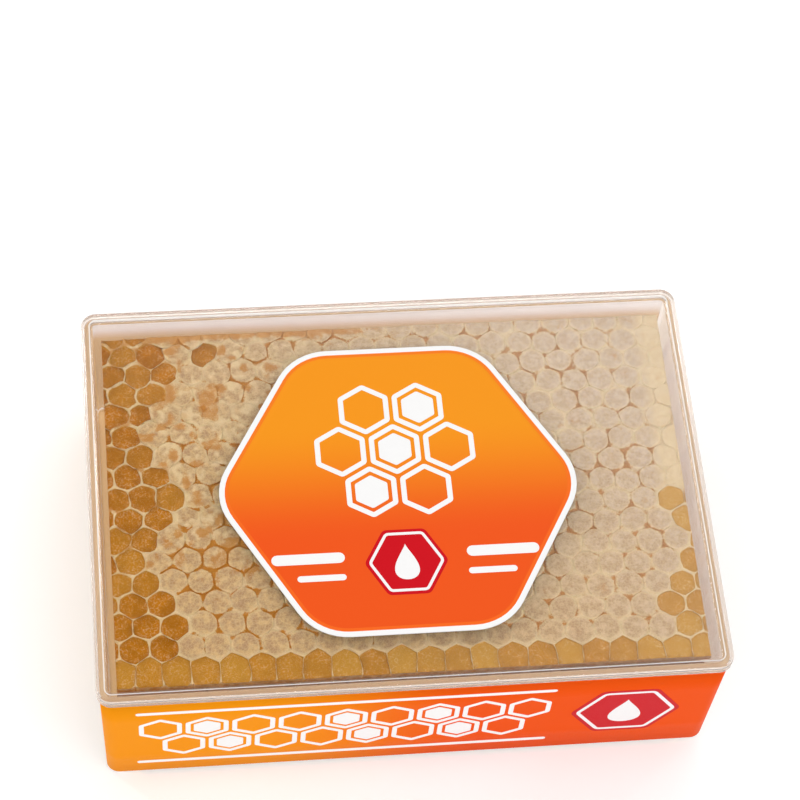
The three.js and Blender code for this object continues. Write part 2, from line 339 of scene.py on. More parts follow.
def mottling_group():
    """Blotches, a fine grain and a net of fibres on object coordinates, as masks and a height."""
    name = "mottling"
    if name in bpy.data.node_groups:
        return bpy.data.node_groups[name]
    group = bpy.data.node_groups.new(name, "ShaderNodeTree")
    for label, value in (("Blotch scale", 700.0), ("Grain scale", 4000.0)):
        socket = group.interface.new_socket(label, in_out="INPUT", socket_type="NodeSocketFloat")
        socket.default_value = value
    for label in ("Blotches", "Grain", "Fibres", "Height"):
        group.interface.new_socket(label, in_out="OUTPUT", socket_type="NodeSocketFloat")
    source = group.nodes.new("NodeGroupInput")
    target = group.nodes.new("NodeGroupOutput")
    place = add_node(group, "TexCoord").outputs["Object"]
    blotch = add_node(group, "TexNoise", {
        "Vector": place, "Scale": source.outputs["Blotch scale"], "Detail": 4.0, "Roughness": 0.62})
    grain = add_node(group, "TexNoise", {
        "Vector": place, "Scale": source.outputs["Grain scale"], "Detail": 2.0, "Roughness": 0.6})
    net_scale = times(group, source.outputs["Grain scale"], 0.42)
    bent = add_node(group, "VectorMath", {
        0: grain.outputs["Color"], 1: (0.0005, 0.0005, 0.0005)}, operation="MULTIPLY")
    bent = add_node(group, "VectorMath", {0: place, 1: bent.outputs[0]}, operation="ADD")
    net = add_node(group, "TexVoronoi", {
        "Vector": bent.outputs[0], "Scale": net_scale}, feature="DISTANCE_TO_EDGE")
    blotches = remap(group, blotch.outputs["Fac"], 0.38, 0.66)
    grains = remap(group, grain.outputs["Fac"], 0.35, 0.68)
    fibres = remap(group, net.outputs["Distance"], 0.02, 0.16, 1.0, 0.0)
    height = plus(group, times(group, blotches, 0.45), times(group, grains, 0.3))
    height = plus(group, height, times(group, fibres, 0.25))
    for label, value in (
            ("Blotches", blotches), ("Grain", grains), ("Fibres", fibres), ("Height", height)):
        group.links.new(value, target.inputs[label])
    return group


def mottling(tree, blotch_scale, grain_scale):
    """The mottling group placed in a material with scales of its own."""
    node = tree.nodes.new("ShaderNodeGroup")
    node.node_tree = mottling_group()
    node.inputs["Blotch scale"].default_value = blotch_scale
    node.inputs["Grain scale"].default_value = grain_scale
    return node.outputs


# Materials.

WHITE_INK = (0.93, 0.93, 0.93)
BORDER_SHADE = (0.93, 0.16, 0.012)
BORDER_SHADE_WIDTH = 0.75 * MM
HAZE_DEPTH = 4.5 * MM


def moulded_plastic(name, tint, body, low_tint=None):
    """Clear moulded plastic with faint wear, which lets lamps through to what it holds.

    Body is how much of it passes light; the rest is a diffuse colour: the plastic's own faint milkiness,
    honey or wax on the walls, painted glow on the lid's rims and the tub's edge, and a painted highlight
    on the rim's rounded corners. A low tint comes in by an S curve from the comb's upper face down to
    the haze's depth below it.
    """
    if name in bpy.data.materials:
        return bpy.data.materials[name]
    material, tree, output = new_material(name)
    wear = mottling(tree, 180.0, 1500.0)["Blotches"]
    bump = add_node(tree, "Bump", {"Height": wear, "Strength": 0.02, "Distance": 0.0002})
    film = mix(tree, times(tree, wear, 0.15), colour(tint), colour(v * 0.92 for v in tint))
    if low_tint:
        place = add_node(tree, "TexCoord").outputs["Object"]
        height = add_node(tree, "SeparateXYZ", {0: place}).outputs["Z"]
        depth = remap(tree, height, COMB_HIGH[2] - HAZE_DEPTH, COMB_HIGH[2], 1.0, 0.0)
        film = mix(tree, depth, film, colour(low_tint))
    glass = add_node(tree, "BsdfPrincipled", {
        "Base Color": film, "Roughness": remap(tree, wear, 0.0, 1.0, 0.02, 0.07), "IOR": 1.49,
        "Transmission Weight": body, "Normal": bump.outputs["Normal"]})
    clear = add_node(tree, "BsdfTransparent", {"Color": colour(tint)})
    ray = add_node(tree, "LightPath").outputs["Is Shadow Ray"]
    both = add_node(tree, "MixShader", {0: ray, 1: glass.outputs[0], 2: clear.outputs[0]})
    tree.links.new(both.outputs[0], output.inputs["Surface"])
    return material


def wax(settings):
    """Dry wax caps and walls: pale rims, mottled middles, honey brown where cells part."""
    material, tree, output = new_material("wax")
    spots = mottling(tree, 640.0, 3600.0)
    rim, crevice, wet, pale = (attribute(tree, name) for name in ("rim", "crevice", "wet", "pale"))
    pale_rim, stain = colour(settings.rim), colour(settings.stain)
    dry = mix(tree, pale, colour(settings.wax), colour(settings.bleached))
    stained = mix(tree, times(tree, pale, 0.45), stain, dry)
    body = mix(tree, spots["Blotches"], stained, dry)
    body = mix(tree, times(tree, spots["Grain"], 0.12), body, stained)
    body = mix(tree, times(tree, spots["Fibres"], 0.3), body, pale_rim)
    body = mix(tree, times(tree, rim, 0.75), body, pale_rim)
    uneven = plus(tree, times(tree, spots["Blotches"], -0.4), times(tree, spots["Grain"], -0.25))
    amber = mix(tree, 0.3, colour(settings.honey), colour(settings.light_honey))
    soaked = remap(tree, plus(tree, wet, uneven), -0.1, 0.6, 0.0, 0.75)
    damp = mix(tree, soaked, body, amber)
    crack = remap(tree, plus(tree, crevice, uneven), 0.05, 0.4)
    deep = mix(tree, times(tree, pale, 0.4), amber, stain)
    bump = add_node(tree, "Bump", {"Height": spots["Height"], "Strength": 0.5, "Distance": 0.00014})
    principled(tree, output, {
        "Base Color": mix(tree, crack, damp, deep),
        "Roughness": remap(tree, spots["Grain"], 0.0, 1.0, 0.45, 0.62),
        "Subsurface Weight": 0.15, "Subsurface Radius": (1.0, 0.55, 0.2),
        "Subsurface Scale": 0.0012, "Specular IOR Level": 0.3, "Normal": bump.outputs["Normal"]})
    return material


def honey(settings):
    """Amber honey standing in the open cells: glossy, darker in its depths, flecked with wax."""
    material, tree, output = new_material("honey")
    spots = mottling(tree, 300.0, 2600.0)
    deep = colour(v * 0.72 for v in settings.honey)
    body = mix(tree, spots["Blotches"], deep, colour(settings.honey))
    # Lighter where the 'pale' value, the grain and the walls say; in the front row the 'pale' value is
    # painted light.
    thin = plus(tree, attribute(tree, "pale"), times(tree, spots["Grain"], 0.16))
    thin = plus(tree, thin, times(tree, attribute(tree, "rim"), 0.6), clamp=True)
    body = mix(tree, thin, body, colour(settings.light_honey))
    flecks = times(tree, times(tree, spots["Fibres"], spots["Blotches"]), spots["Grain"])
    body = mix(tree, times(tree, flecks, 0.45), body, colour(settings.rim))
    bump = add_node(tree, "Bump", {"Height": spots["Height"], "Strength": 0.15, "Distance": 0.0002})
    principled(tree, output, {
        "Base Color": body, "Roughness": remap(tree, spots["Grain"], 0.0, 1.0, 0.16, 0.3),
        "Specular IOR Level": 0.1, "Coat Weight": 0.04, "Coat Roughness": 0.08,
        "Normal": bump.outputs["Normal"]})
    return material


def print_finish(tree, output, base, gloss):
    """Satin film over print: a fine grain in its gloss."""
    grain = mottling(tree, 900.0, 6000.0)["Grain"]
    principled(tree, output, {
        "Base Color": base, "Roughness": remap(tree, grain, 0.0, 1.0, 0.36, 0.46),
        "Specular IOR Level": gloss})


def plain_print(name, ink):
    """One printed colour, a little uneven as ink on film is."""
    material, tree, output = new_material(name)
    blotches = mottling(tree, 500.0, 5000.0)["Blotches"]
    base = mix(tree, times(tree, blotches, 0.06), colour(ink), colour(v * 0.8 for v in ink))
    print_finish(tree, output, base, 0.06)
    return material


def colour_run(name, settings, axis, start, end, gloss, border=0.0):
    """A label's run from light to deep orange along an axis, inside a white border where it has one."""
    material, tree, output = new_material(name)
    place = add_node(tree, "TexCoord").outputs["Object"]
    along = add_node(tree, "SeparateXYZ", {0: place}).outputs[axis]
    run = remap(tree, along, start, end)
    base = mix(tree, run, colour(settings.light_orange), colour(settings.deep_orange))
    if border:
        edge = attribute(tree, "edge")
        shade = maths(tree, "LESS_THAN", edge, border + BORDER_SHADE_WIDTH)
        base = mix(tree, times(tree, shade, 0.7), base, colour(BORDER_SHADE))
        base = mix(tree, maths(tree, "LESS_THAN", edge, border), base, colour(WHITE_INK))
    print_finish(tree, output, base, gloss)
    return material


# Clear box.

# Slots of the box's plastics, the inset at which its flat middles begin, and its roundings; the rim and
# edge slots carry painted glow, and the slot of the rounded corners a painted highlight.
# Then how deep and how wide the painted highlight runs round the lid's corners, and how far in it lies
# on its ledge.
PLAIN, GLOWING_RIM, GLOWING_EDGE, PAINTED_HIGHLIGHT, SMEARED, MISTED, HAZED = range(7)
FLAT_MIDDLE = 9 * MM
LEDGE_SLOPE = 0.35 * MM
LID_ROUNDING = 0.45 * MM
LEDGE_ROUNDING = 0.3 * MM
FOOT_ROUNDING = 1.0 * MM
EDGE_ROUNDING = 0.3 * MM
HIGHLIGHT_DEPTH, HIGHLIGHT_WIDTH, LEDGE_HIGHLIGHT = 0.22 * MM, 0.18 * MM, 0.38 * MM


def rounded_ring(half_width, half_depth, radius, steps=10):
    """A rounded rectangle in plan: four quarter circles joined by straight sides, anticlockwise."""
    quarter = np.linspace(0, math.pi / 2, steps + 1)
    angle = np.concatenate([quarter + k * math.pi / 2 for k in range(4)])
    side_x = np.repeat([1, -1, -1, 1], steps + 1)
    side_y = np.repeat([1, 1, -1, -1], steps + 1)
    x = side_x * (half_width - radius) + radius * np.cos(angle)
    y = side_y * (half_depth - radius) + radius * np.sin(angle)
    return np.stack([x, y], 1)


def rounded_profile(corners, steps=5):
    """A section line through corners (inset, z, radius), each corner replaced by an arc.

    The arc's ends lie a radius from the corner along both sides, and the points between follow a
    quadratic curve; two more points a little beyond each end keep the flat parts flat.
    """
    at = np.array([corner[:2] for corner in corners])
    line = [at[:1]]
    for k in range(1, len(at) - 1):
        radius = corners[k][2]
        before = (at[k - 1] - at[k]) / np.linalg.norm(at[k - 1] - at[k])
        after = (at[k + 1] - at[k]) / np.linalg.norm(at[k + 1] - at[k])
        t = np.linspace(0, 1, steps + 1)[:, None]
        start, end = at[k] + before * radius, at[k] + after * radius
        arc = (1 - t) ** 2 * start + 2 * t * (1 - t) * at[k] + t ** 2 * end
        spare = 0.12 * radius
        line += [start[None] + before * spare, arc, end[None] + after * spare]
    line.append(at[-1:])
    return np.concatenate(line)


def ring_surface(profile, half_width, half_depth, corner, lean):
    """Rings of a rounded box: each profile point (inset, z) gives one level rounded rectangle."""
    rings = []
    for inset, z in profile:
        reach = inset + lean(z)
        ring = rounded_ring(half_width - reach, half_depth - reach, max(corner - inset, 0.5 * MM))
        rings.append(np.column_stack([ring, np.full(len(ring), z)]))
    return np.array(rings)


def box_plastics(box):
    """Plastic of panels, the lid's rim and the tub's edge with painted glow, the rim's corners with a
    painted highlight, and the inner walls.
    """
    return [moulded_plastic(*finish) for finish in (
        ("moulded_plastic", box.tint, 1.0),
        ("moulded_rim", box.rim_glow_tint, 0.9),
        ("moulded_edge", box.edge_glow_tint, 0.3),
        ("moulded_corner", box.highlight_tint, 0.3),
        ("smeared_wall", box.smear_tint, 0.35),
        ("misted_wall", box.mist_tint, 0.75),
        ("back_wall", box.haze_tint, 0.55, box.back_tint),
    )]


def add_moulding(name, rings, band, node):
    """A moulded piece through its rings, with a material for each of the rings' faces."""
    points, faces = lofted(rings)
    ends = np.full(2 * rings.shape[1], PLAIN)
    materials = box_plastics(bpy.context.scene.comb_box)
    thing = add_mesh(name, points, faces, materials, np.concatenate([band.ravel(), ends]))
    settle(thing, node)


class LidOperator(bpy.types.Operator):
    """Makes the clear lid: a panel sunk in a raised ledge, with a short skirt"""

    bl_idname = "comb_honey.lid"
    bl_label = "Lid"

    def execute(self, context):
        box = context.scene.comb_box
        top, foot = LID_HIGH[2], LID_LOW[2]
        panel_top = top - box.recess
        under = panel_top - box.panel
        profile = rounded_profile([
            (FLAT_MIDDLE, under, 0),
            (box.skirt, under, 0.35 * MM),
            (box.skirt, foot, 0.12 * MM),
            (0, foot, 0.15 * MM),
            (0, top, LID_ROUNDING),
            (box.ledge - LEDGE_SLOPE, top, LEDGE_ROUNDING),
            (box.ledge, panel_top, LEDGE_ROUNDING),
            (FLAT_MIDDLE, panel_top, 0),
        ])
        rings = ring_surface(profile, LID_HIGH[0], LID_HIGH[1], box.lid_corner, lambda z: 0.0)
        inset, z = ((profile[1:] + profile[:-1]) / 2).T
        # The ledge takes the rim plastic with its painted glow; its inner top corner and the lid's outer
        # top and foot edges take the painted highlight.
        band = np.where(inset < box.ledge + LEDGE_ROUNDING, GLOWING_RIM, PLAIN)
        high = z > top - HIGHLIGHT_DEPTH
        ledge_highlight = high & (np.abs(inset - box.ledge + LEDGE_HIGHLIGHT) < 0.2 * MM)
        outer_highlight = (inset < HIGHLIGHT_WIDTH) & (high | (z < foot + 0.1 * MM))
        band[ledge_highlight | outer_highlight] = PAINTED_HIGHLIGHT
        add_moulding("clear_lid", rings, np.repeat(band, rings.shape[1]), "lid")
        return {"FINISHED"}


def tub_lean(z):
    """How far the tub's walls have leaned in at a height, from nothing at its rim."""
    return bpy.context.scene.comb_box.draft * (1 - z / TUB_HIGH[2])


class TubOperator(bpy.types.Operator):
    """Makes the clear tub: leaning walls with a rounded rim, foot and inner floor"""

    bl_idname = "comb_honey.tub"
    bl_label = "Tub"

    def execute(self, context):
        box = context.scene.comb_box
        rim = TUB_HIGH[2]
        profile = rounded_profile([
            (FLAT_MIDDLE, 0, 0),
            (0, 0, FOOT_ROUNDING),
            (0, rim, EDGE_ROUNDING),
            (box.wall, rim, EDGE_ROUNDING),
            (box.wall, box.wall, FOOT_ROUNDING),
            (FLAT_MIDDLE, box.wall, 0),
        ])
        rings = ring_surface(profile, TUB_HIGH[0], TUB_HIGH[1], box.tub_corner, tub_lean)
        # The rounded upper edge takes the edge plastic, whose amber is painted glow.
        of_glowing_edge = profile[:, 1] > rim - 2 * EDGE_ROUNDING
        of_glowing_edge = (of_glowing_edge[:-1] & of_glowing_edge[1:])[:, None]
        inset, z = ((profile[1:] + profile[:-1]) / 2).T[:, :, None]
        inner = (np.abs(inset - box.wall) < 0.1 * MM) & (z > 2 * box.wall)
        floor = (inset > box.wall + 0.1 * MM) & (z > box.wall / 2) & (z < 2.5 * box.wall)
        x, y = ((rings[0] + np.roll(rings[0], -1, 0)) / 2)[:, :2].T
        beyond_x = np.abs(x) - rings[0][:, 0].max()
        beyond_y = np.abs(y) - rings[0][:, 1].max()
        wall = np.where(beyond_y > beyond_x, np.where(y < 0, SMEARED, HAZED),
                        np.where(x < 0, SMEARED, MISTED))
        band = np.where(of_glowing_edge, GLOWING_EDGE, np.where(inner, wall, np.where(floor, SMEARED, PLAIN)))
        add_moulding("clear_tub", rings, band, "tub")
        return {"FINISHED"}


# Comb.

FIRST_CELL = np.array([-53.2, -37.6]) * MM
CELL_KEYS = np.array([[1, 1], [0, 2], [-1, 1], [-1, -1], [0, -2], [1, -1]])
FRONT_STRETCH = 0.9
FRONT_ROW = COMB_LOW[1] + 5.2 * MM
COVER_THICKNESS = 3.2 * MM
MIDDLE_WALL_Z = 17.6 * MM
CAP_ROOM, FOOT_ROOM = 0.1 * MM, 0.25 * MM
RIDGE_SIZE, RIDGE_SEED = 1.0 * MM, 47
SIDE_STEP, SIDE_OVERLAP, SIDE_FADE, RIB = 0.3 * MM, 0.3 * MM, 0.8 * MM, 0.5 * MM

# A cell's rings, from the outer one to the inner one. Share says where a ring lies between the
# cell's middle and its outline, and roundness how far it is pulled towards a circle. Heights, and
# the drop of a cap beside a seam, are in millimetres. Rim and crevice are what the wax reads.
CAP_SHARE = np.array([0.955, 0.91, 0.85, 0.72, 0.5, 0.26])
OPEN_SHARE = np.array([0.96, 0.945, 0.93, 0.88, 0.5, 0.26])
ROUNDNESS = np.array([0.35, 0.6, 0.8, 0.85, 0.85, 0.85])
CAP_HEIGHT = np.array([-0.12, 0.02, 0.04, -0.02, -0.05, -0.06])
CAP_DROP = np.array([0.22, 0.04, 0, 0, 0, 0])
CAP_RIM = np.array([0.6, 0.8, 0.35, 0.05, 0, 0])
CAP_CREVICE = np.array([0.9, 0.66, 0.3, 0.05, 0, 0])
HONEY_HEIGHT = np.array([0, 0, 0.15, 0.02, 0, -0.02])
WALL_HEIGHT = np.array([-0.08, -0.3])
OPEN_RIM = np.array([1.0, 0.9, 0.5, 0, 0, 0])
RINGS = len(CAP_SHARE)


def lattice_point(settings, column, row, shift):
    """Lattice steps to the slab's plan: even rows turned a little, bent by slow sine waves.

    In front of the first row's middle all is drawn out, so that its cells reach the slab's edge.
    """
    u, v = column * settings.cell_pitch, row * settings.row_pitch + shift
    x = FIRST_CELL[0] + u * math.cos(settings.turn) - v * math.sin(settings.turn)
    y = FIRST_CELL[1] + u * math.sin(settings.turn) + v * math.cos(settings.turn)
    a, b = x / MM, y / MM
    bend_x = np.sin(0.31 * a + 0.83 * b) + np.sin(0.67 * b - 0.19 * a + 1.7)
    bend_y = np.sin(0.74 * a - 0.27 * b + 0.6) + np.sin(0.41 * a + 0.35 * b + 2.9)
    ahead = np.minimum(y - FIRST_CELL[1], 0)
    return x + settings.warp * bend_x, y + settings.warp * bend_y + FRONT_STRETCH * ahead


def comb_cells(settings, shift):
    """Whole-number keys of every cell that touches the slab, in half columns and third rows."""
    width, depth = COMB_HIGH[:2] - COMB_LOW[:2]
    rows = np.arange(-2, math.ceil(depth / settings.row_pitch) + 2)
    columns = np.arange(-3, math.ceil(width / settings.cell_pitch) + 2)
    row, column = np.meshgrid(rows, columns, indexing="ij")
    keys = np.stack([2 * column + np.abs(row) % 2, 3 * row], -1).reshape(-1, 2)
    x, y = lattice_point(settings, keys[:, 0] / 2, keys[:, 1] / 3, shift)
    reach = 3.4 * MM
    inside = (x > COMB_LOW[0] - reach) & (x < COMB_HIGH[0] + reach)
    inside &= (y > COMB_LOW[1] - reach) & (y < COMB_HIGH[1] + reach)
    return keys[inside]


def open_cells(x, y):
    """True for cells along the left and front sides and in the right front corner."""
    left_band = COMB_LOW[0] + (11 + 3 * np.sin(0.21 * y / MM + 0.8)) * MM
    in_corner = (x > COMB_HIGH[0] - 9 * MM) & (y < COMB_LOW[1] + 17 * MM)
    in_corner |= (x > COMB_HIGH[0] - 3.4 * MM) & (y < COMB_LOW[1] + 40 * MM)
    stray = (roughly_built(x, y) > 0.5) & (scatter(np.round(x / MM), np.round(y / MM), 3) > 0.88)
    return (x < left_band) | (y < FRONT_ROW) | in_corner | stray


def cell_outlines(settings, keys, edge_steps, shift):
    """Points along the cells' outlines, shared by neighbours, and each cell's row of indices.

    Corner keys are multiplied by the steps along an edge, so the points between two corners are
    whole numbers too, and equal ones meet.
    """
    corner = keys[:, None] + CELL_KEYS
    step = np.arange(edge_steps)[:, None]
    fine = corner[:, :, None] * (edge_steps - step) + np.roll(corner, -1, 1)[:, :, None] * step
    unique, index = np.unique(fine.reshape(-1, 2), axis=0, return_inverse=True)
    x, y = lattice_point(
        settings, unique[:, 0] / (2 * edge_steps), unique[:, 1] / (3 * edge_steps), shift)
    return x, y, index.reshape(len(keys), 6 * edge_steps)


def seam_depth(settings, x, y, index, edge_steps):
    """How deeply caps part along their outlines: broken by noise, and most where corners meet."""
    seed = settings.seed
    seam = smooth_step(-0.45, 0.35, noise(x, y, 2.6 * MM, seed))
    seam = seam * (0.5 + 0.5 * smooth_step(-0.6, 0.2, noise(x, y, 15 * MM, seed + 1)))
    junction = np.zeros(len(x))
    junction[index] = np.tile(np.abs(2 * np.arange(edge_steps) / edge_steps - 1) ** 2, 6)
    seam = seam + 0.7 * junction * smooth_step(-0.5, 0.3, noise(x, y, 5 * MM, seed + 7))
    return np.clip(seam * (1 - 0.4 * paleness(x, y)), 0, 1)


def strayed(settings, x, y):
    """Outline points pushed about by fine and wide noise, most where the comb is roughly built."""
    rough = roughly_built(x, y)
    pushed = []
    for along, place in ((0, x), (1, y)):
        near = (0.14 + 0.22 * rough) * MM * noise(x, y, 1.6 * MM, settings.seed + 3 + along)
        wide = (0.15 + 0.75 * rough) * MM * noise(x, y, 5.5 * MM, settings.seed + 15 + along)
        pushed.append(place + (near + wide))
    return pushed


def cell_rings(centre, outline, share, in_front):
    """Plan of every cell's rings: the outline drawn in by a share and pulled towards a circle."""
    spoke = outline - centre[:, None]
    reach = np.linalg.norm(spoke, axis=-1, keepdims=True)
    circle = reach.mean(1, keepdims=True) / reach
    roundness = ROUNDNESS * np.where(in_front, 0.35, 1.0)[:, None]
    pull = 1 + roundness[:, :, None, None] * (circle[:, None] - 1)
    ring = centre[:, None, None] + spoke[:, None] * share[..., None, None] * pull
    return ring[..., 0], ring[..., 1]


def cap_heights(settings, keys, share, x, y, beside):
    """Heights in mm of a cap's rings and middle: a lip, a dome of its own, seams and noise."""
    dome = scatter(keys[:, 0], keys[:, 1], settings.seed) * 0.34 - 0.14
    dome = dome[:, None] * (1 - share ** 2)
    z = (CAP_HEIGHT + dome)[..., None] - CAP_DROP[:, None] * beside
    z = z + 0.05 * noise(x, y, 1.3 * MM, settings.seed + 5)
    z = z + 0.03 * noise(x, y, 0.5 * MM, settings.seed + 6)
    z = z + 0.12 * roughly_built(x, y) * noise(x, y, RIDGE_SIZE, RIDGE_SEED)
    return z, CAP_HEIGHT[-1] + dome[:, -1]


def honey_heights(settings, keys, x, y):
    """Heights in mm of an open cell's rings and middle: a wall down to nearly level honey."""
    level = -(settings.honey_depth / MM) * (0.75 + 0.7 * scatter(keys[:, 1], keys[:, 0], 5))
    ring = level[:, None] + HONEY_HEIGHT
    ring[:, :len(WALL_HEIGHT)] = WALL_HEIGHT
    return ring[..., None] + 0.03 * noise(x, y, 1.6 * MM, 9), level


def cell_faces(index, shared, opened):
    """Quads from ring to ring and a fan round each middle, with slot 1 where honey stands."""
    count, around = index.shape
    inner = shared + np.arange(count * RINGS * around).reshape(count, RINGS, around)
    loops = np.concatenate([index[:, None], inner], 1)
    after = np.roll(loops, -1, -1)
    quads = np.stack([loops[:, :-1], after[:, :-1], after[:, 1:], loops[:, 1:]], -1)
    middle = np.repeat(shared + inner.size + np.arange(count), around).reshape(count, around)
    fans = np.stack([middle, loops[:, -1], after[:, -1]], -1)
    honey_ring = np.repeat(np.arange(RINGS) >= len(WALL_HEIGHT), around)
    slots = np.concatenate([(opened[:, None] & honey_ring).ravel(), np.repeat(opened, around)])
    return [quads.reshape(-1, 4), fans.reshape(-1, 3)], slots.astype(int)


def honey_blots(settings, keys, centre, x, y):
    """Honey that soaks a cap: one round, uneven patch at a random place, faint on most cells."""
    angle = 2 * math.pi * scatter(keys[:, 0] + 7, keys[:, 1], settings.seed)
    out = settings.cell_pitch * 0.45 * scatter(keys[:, 0], keys[:, 1] + 5, settings.seed)
    place = centre + out[:, None] * np.stack([np.cos(angle), np.sin(angle)], 1)
    amount = np.clip(1.6 * scatter(keys[:, 1], keys[:, 0], settings.seed + 9) - 0.75, 0, 1)
    away = np.hypot(x - place[:, 0, None, None], y - place[:, 1, None, None])
    patch = smooth_step(1.9 * MM, 0.3 * MM, away) * amount[:, None, None]
    return patch * (0.5 + 0.5 * noise(x, y, 0.7 * MM, 44))


def joined(outline, rings, middle):
    """Values of a sheet's shared outline points, of its cells' rings and of their middles in a row."""
    return np.concatenate([outline, np.ravel(rings), middle])


def cell_sheet(settings, shift, edge_steps, is_open):
    """Points, faces, face slots and values of a sheet of cells, its caps facing up from zero height.

    Each cell is a grid of rings from its outline to its middle, and shares its outline points with
    its neighbours. Caps have a low lip and a dome, and open cells drop down a wall to the honey.
    """
    keys = comb_cells(settings, shift)
    count, around = len(keys), 6 * edge_steps
    centre = np.stack(lattice_point(settings, keys[:, 0] / 2, keys[:, 1] / 3, shift), 1)
    opened = is_open(centre[:, 0], centre[:, 1])
    in_front = centre[:, 1] < FRONT_ROW

    rim_x, rim_y, index = cell_outlines(settings, keys, edge_steps, shift)
    shared = len(rim_x)
    by_open = np.zeros(shared)
    np.maximum.at(by_open, index.ravel(), np.repeat(opened, around).astype(float))
    crevice = seam_depth(settings, rim_x, rim_y, index, edge_steps) * (1 - by_open)
    ragged = noise(rim_x, rim_y, 0.8 * MM, settings.seed + 2)
    rim_z = np.where(by_open > 0, -0.05 + 0.12 * ragged, -0.12 - 0.42 * crevice) * MM
    rim_x, rim_y = strayed(settings, rim_x, rim_y)

    share = np.where(opened[:, None], OPEN_SHARE, CAP_SHARE)
    x, y = cell_rings(centre, np.stack([rim_x[index], rim_y[index]], -1), share, in_front)
    beside = crevice[index][:, None, :]
    cap_z, cap_middle = cap_heights(settings, keys, share, x, y, beside)
    open_z, open_middle = honey_heights(settings, keys, x, y)
    z = np.where(opened[:, None, None], open_z, cap_z) * MM
    middle_z = np.where(opened, open_middle, cap_middle) * MM
    all_x, all_y = joined(rim_x, x, centre[:, 0]), joined(rim_y, y, centre[:, 1])
    points = np.stack([all_x, all_y, joined(rim_z, z, middle_z)], 1)
    faces, slots = cell_faces(index, shared, opened)

    patch = honey_blots(settings, keys, centre, x, y)
    # Lightness of the open cells' honey: thinner honey in places, and painted light lifting the front
    # row against the ledge's shade.
    light = honey_lightness_and_lift(settings, keys, centre, in_front)
    sealed = sealed_caps(all_x, all_y)
    nothing, still, per_cell = np.zeros(shared), np.zeros(count), x[0].size
    in_open = joined(nothing, np.repeat(opened, per_cell), opened)
    of_cell = joined(nothing, np.repeat(light, per_cell), light)
    ring_rim = np.where(opened[:, None], OPEN_RIM, CAP_RIM)[..., None]
    rim = joined(1 - crevice, np.broadcast_to(ring_rim, x.shape), still)
    rim = np.maximum(rim, wax_ridges(all_x, all_y) * (1 - in_open))
    cap_crevice = CAP_CREVICE[:, None] * beside * ~opened[:, None, None]
    wet = wetness(all_x, all_y) + joined(nothing, patch, patch[:, -1].mean(-1)) * 0.7
    values = {
        "rim": rim * (1 - sealed) + 0.8 * sealed,
        "crevice": joined(crevice, cap_crevice, still) * (1 - sealed),
        "wet": np.clip(wet, 0, 1),
        "pale": np.where(in_open > 0, of_cell, paleness(all_x, all_y)),
    }
    return points, faces, slots, values


def honey_lightness_and_lift(settings, keys, centre, in_front):
    """How light each open cell's honey is, most in the front row and along the right side. Along the
    right and at random the honey is thinner; the front row's lift is painted light against the shade of
    the lid's ledge and the front wall.
    """
    light = 0.42 * in_front + 0.6 * smooth_step(44 * MM, 54 * MM, centre[:, 0])
    return light + 0.45 * scatter(keys[:, 0], keys[:, 1] + 2, settings.seed + 3) ** 2


def sealed_caps(x, y):
    """Where wax closes the seams: one along the back part of the right side, and zero elsewhere."""
    by_side = smooth_step(6.5 * MM, 3 * MM, COMB_HIGH[0] - x)
    return by_side * smooth_step(-14 * MM, -2 * MM, y)


def wax_ridges(x, y):
    """Pale ridges of wax over the roughly built caps."""
    return roughly_built(x, y) * smooth_step(0.05, 0.5, noise(x, y, RIDGE_SIZE, RIDGE_SEED))


def paleness(x, y):
    """How bleached the caps are: from zero at the left front to one at the right back."""
    return smooth_step(-45 * MM, 85 * MM, x + 0.9 * y)


def roughly_built(x, y):
    """Where the comb was built unevenly: one towards its left back corner and zero elsewhere."""
    return smooth_step(10 * MM, -35 * MM, x) * smooth_step(-24 * MM, -4 * MM, y)


def wetness(x, y):
    """How far honey has soaked the caps: soft round stains, and a film towards the left side."""
    stains = [(-30, -8, 13, 0.5), (-8, -22, 10, 0.3), (-50, 36, 9, 0.5), (16, -20, 7, 0.4)]
    total = 0.3 * smooth_step(-40 * MM, -58 * MM, x)
    for at_x, at_y, radius, amount in stains:
        away = ((x / MM - at_x) ** 2 + (y / MM - at_y) ** 2) / radius ** 2
        total = total + amount * np.exp(-away)
    patchy = 0.55 + 0.45 * noise(x, y, 3.1 * MM, 21)
    hollows = 0.8 * roughly_built(x, y) * smooth_step(0.15, 0.6, noise(x, y, 2.3 * MM, 22))
    back_edge = smooth_step(39.0 * MM, 40.0 * MM, y) * smooth_step(6 * MM, -12 * MM, x)
    return np.clip(total * patchy + hollows + 0.9 * back_edge, 0, 1)


def read(items, key, width=1, kind=np.int32):
    """One property of all the items of a mesh as an array."""
    data = np.empty(len(items) * width, kind)
    items.foreach_get(key, data)
    return data.reshape(-1, width) if width > 1 else data


